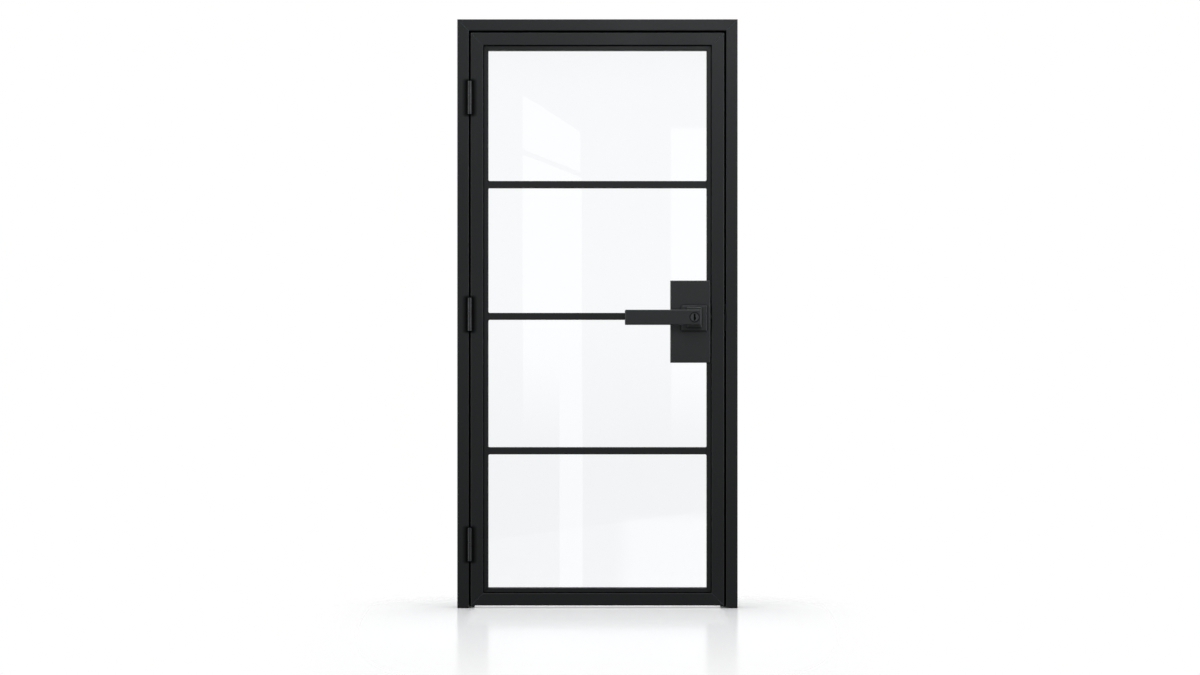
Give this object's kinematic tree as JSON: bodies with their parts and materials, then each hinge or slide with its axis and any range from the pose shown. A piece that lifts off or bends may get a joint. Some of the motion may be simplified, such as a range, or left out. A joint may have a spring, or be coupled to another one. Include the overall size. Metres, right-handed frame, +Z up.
{
  "type": "glass door with frame",
  "caption": "Slim black steel door leaf glazed between horizontal bars, hung on barrel hinges in a mitred frame, with lever handles, key cylinder and latch.",
  "frame": {"origin": "on the floor, at the middle of the frame's width and of the leaf's thickness", "axes": "+X towards the latch side seen from the hinge side's front, +Y away from the side that the leaf opens to, +Z up"},
  "size_m": [1, 0.1636, 2.1],
  "materials": {
    "black_paint": "satin black powder coat",
    "dark_steel": "dark satin",
    "glass": "clear",
    "lever_black": "satin black coated",
    "rubber": "matt",
    "steel": "satin"
  },
  "bodies": {
    "frame": {"hinge_jamb": "black_paint", "strike_jamb": "black_paint", "frame_head": "black_paint", "hinge_jamb_seal": "rubber", "strike_jamb_seal": "rubber", "head_seal": "rubber", "strike_plate": "dark_steel", "strike_box": "steel", "strike_screws": "dark_steel", "hinge_pins": "steel", "hinge_collars": "black_paint", "lower_hinge_caps": "black_paint", "jamb_flap_screws": "steel", "top_jamb_flap": "black_paint", "middle_jamb_flap": "black_paint", "bottom_jamb_flap": "black_paint"},
    "leaf": {"back_lock_cover": "black_paint", "back_rose": "lever_black", "bottom_beads": "black_paint", "bottom_leaf_flap": "black_paint", "bottom_pane": "glass", "bottom_rail": "black_paint", "bottom_tape": "rubber", "faceplate_screws": "dark_steel", "front_lock_cover": "black_paint", "front_rose": "lever_black", "hinge_stile": "black_paint", "latch_case": "dark_steel", "latch_faceplate": "dark_steel", "leaf_flap_screws": "steel", "lock_case": "black_paint", "lock_stile": "black_paint", "lower_bar": "black_paint", "lower_beads": "black_paint", "lower_pane": "glass", "lower_tape": "rubber", "middle_bar": "black_paint", "middle_leaf_flap": "black_paint", "setting_blocks": "rubber", "through_bolts": "steel", "top_beads": "black_paint", "top_leaf_flap": "black_paint", "top_pane": "glass", "top_rail": "black_paint", "top_tape": "rubber", "upper_bar": "black_paint", "upper_beads": "black_paint", "upper_hinge_caps": "black_paint", "upper_pane": "glass", "upper_tape": "rubber"},
    "lever": {"front_lever": "lever_black", "back_lever": "lever_black", "spindle": "steel", "follower": "steel", "key_cylinder": "dark_steel"},
    "latch": {"latch_bolt": "dark_steel"},
    "key_plug": {"key_plug": "dark_steel"},
    "turn_button": {"turn_button": "dark_steel"}
  },
  "joints": [
    {"name": "leaf_swing", "type": "hinge", "parent": "frame", "child": "leaf", "pos_m": [-0.4555, -0.028, 0], "axis": [0, 0, -1], "range_deg": [0, 170]},
    {"name": "lever_turn", "type": "hinge", "parent": "leaf", "child": "lever", "pos_m": [0.3445, 0, 1.03698], "axis": [0, -1, 0], "range_deg": [0, 45], "stiffness_Nm_per_rad": 2, "springref_deg": -68.75},
    {"name": "latch_slide", "type": "slide", "parent": "leaf", "child": "latch", "axis": [-1, 0, 0], "range_m": [0, 0.018]},
    {"name": "key_turn", "type": "hinge", "parent": "lever", "child": "key_plug", "pos_m": [0.3445, 0, 1.03698], "axis": [0, -1, 0], "range_deg": [0, 90]},
    {"name": "button_turn", "type": "hinge", "parent": "lever", "child": "turn_button", "pos_m": [0.3445, 0, 1.03698], "axis": [0, 1, 0], "range_deg": [0, 90]}
  ],
  "couplings": [
    {"joint": "latch_slide", "follows": "lever_turn", "m_per_rad": 0.0229}
  ]
}
